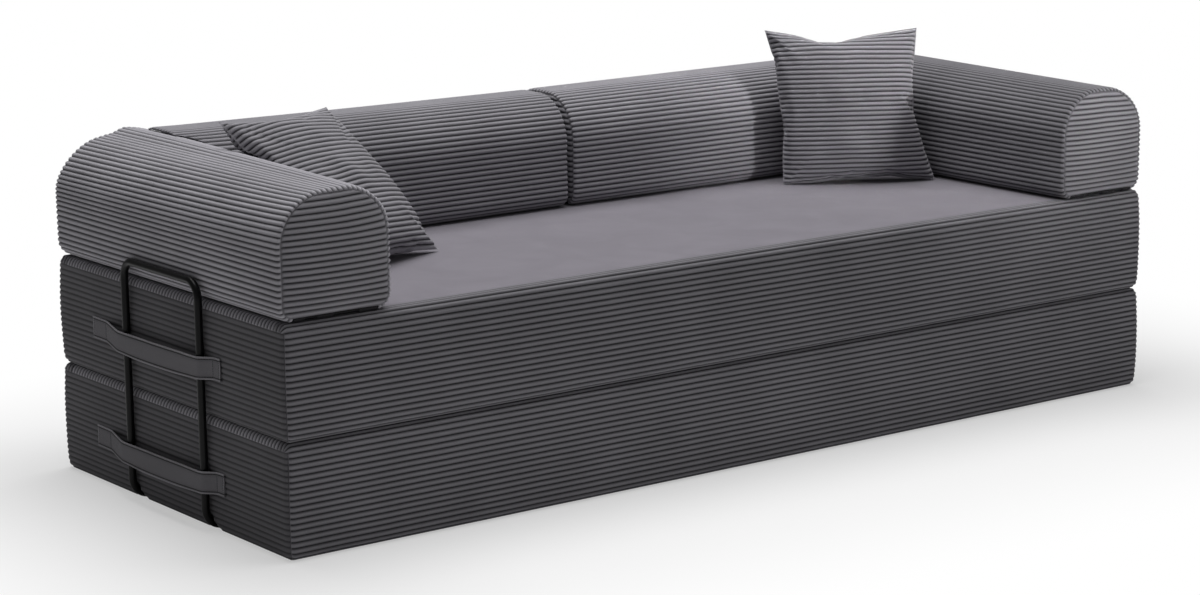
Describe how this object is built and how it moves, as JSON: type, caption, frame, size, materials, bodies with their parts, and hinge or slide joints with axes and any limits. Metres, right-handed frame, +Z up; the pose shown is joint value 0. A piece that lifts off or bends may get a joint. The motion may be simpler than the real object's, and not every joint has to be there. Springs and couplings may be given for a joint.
{
  "type": "modular sofa bed",
  "caption": "Ribbed floor sofa bed of stacked foam pads with loose armrests, back bolsters and pillows, tied at both ends by steel tube brackets.",
  "frame": {"origin": "on the floor under the middle of the pads", "axes": "+X to the right end as seen from the front, +Y to the back, +Z up"},
  "size_m": [2.041, 0.8, 0.7158],
  "materials": {
    "ribbed_corduroy": "matt ribbed pile",
    "smooth_suede": "matt short nap",
    "foam": "open cell",
    "fibre_filling": "loose fibre",
    "zip_tape": "woven",
    "hook_tape": "stiff hooks",
    "loop_tape": "soft loops",
    "strap_cloth": "plain weave, stitched borders",
    "black_steel": "satin powder coat",
    "plug_plastic": "moulded"
  },
  "bodies": {
    "brackets": {"bracket_left": "black_steel", "bracket_left_plugs": "plug_plastic", "bracket_right": "black_steel", "bracket_right_plugs": "plug_plastic"},
    "base_pad": {"base_cover": "ribbed_corduroy", "base_top_panel": "smooth_suede", "base_core": "foam", "base_zip": "zip_tape", "base_strap_left": "strap_cloth", "base_strap_right": "strap_cloth"},
    "seat_pad": {"seat_cover": "ribbed_corduroy", "seat_top_panel": "smooth_suede", "seat_core": "foam", "seat_zip": "zip_tape", "seat_strap_left": "strap_cloth", "seat_strap_right": "strap_cloth", "seat_loop_strips": "loop_tape"},
    "armrest_left": {"armrest_left_cover": "ribbed_corduroy", "armrest_left_core": "foam", "armrest_left_zip": "zip_tape", "armrest_left_hook_strips": "hook_tape"},
    "armrest_right": {"armrest_right_cover": "ribbed_corduroy", "armrest_right_core": "foam", "armrest_right_zip": "zip_tape", "armrest_right_hook_strips": "hook_tape"},
    "bolster_left": {"bolster_left_cover": "ribbed_corduroy", "bolster_left_core": "foam", "bolster_left_zip": "zip_tape", "bolster_left_hook_strips": "hook_tape"},
    "bolster_right": {"bolster_right_cover": "ribbed_corduroy", "bolster_right_core": "foam", "bolster_right_zip": "zip_tape", "bolster_right_hook_strips": "hook_tape"},
    "pillow_left": {"pillow_left_cover": "ribbed_corduroy", "pillow_left_filling": "fibre_filling"},
    "pillow_right": {"pillow_right_cover": "ribbed_corduroy", "pillow_right_filling": "fibre_filling"}
  },
  "joints": [
    {"name": "base_lift", "type": "slide", "parent": "brackets", "child": "base_pad", "axis": [0, 0, 1], "range_m": [0, 0.4]},
    {"name": "seat_lift", "type": "slide", "parent": "base_pad", "child": "seat_pad", "axis": [0, 0, 1], "range_m": [0, 0.25]},
    {"name": "armrest_left_lift", "type": "slide", "parent": "seat_pad", "child": "armrest_left", "axis": [0, 0, 1], "range_m": [0, 0.25]},
    {"name": "armrest_right_lift", "type": "slide", "parent": "seat_pad", "child": "armrest_right", "axis": [0, 0, 1], "range_m": [0, 0.25]},
    {"name": "bolster_left_lift", "type": "slide", "parent": "seat_pad", "child": "bolster_left", "axis": [0, 0, 1], "range_m": [0, 0.25]},
    {"name": "bolster_right_lift", "type": "slide", "parent": "seat_pad", "child": "bolster_right", "axis": [0, 0, 1], "range_m": [0, 0.25]},
    {"name": "pillow_left_lift", "type": "slide", "parent": "armrest_left", "child": "pillow_left", "axis": [0, 0, 1], "range_m": [0, 0.25]},
    {"name": "pillow_right_lift", "type": "slide", "parent": "seat_pad", "child": "pillow_right", "axis": [0, 0, 1], "range_m": [0, 0.25]}
  ]
}
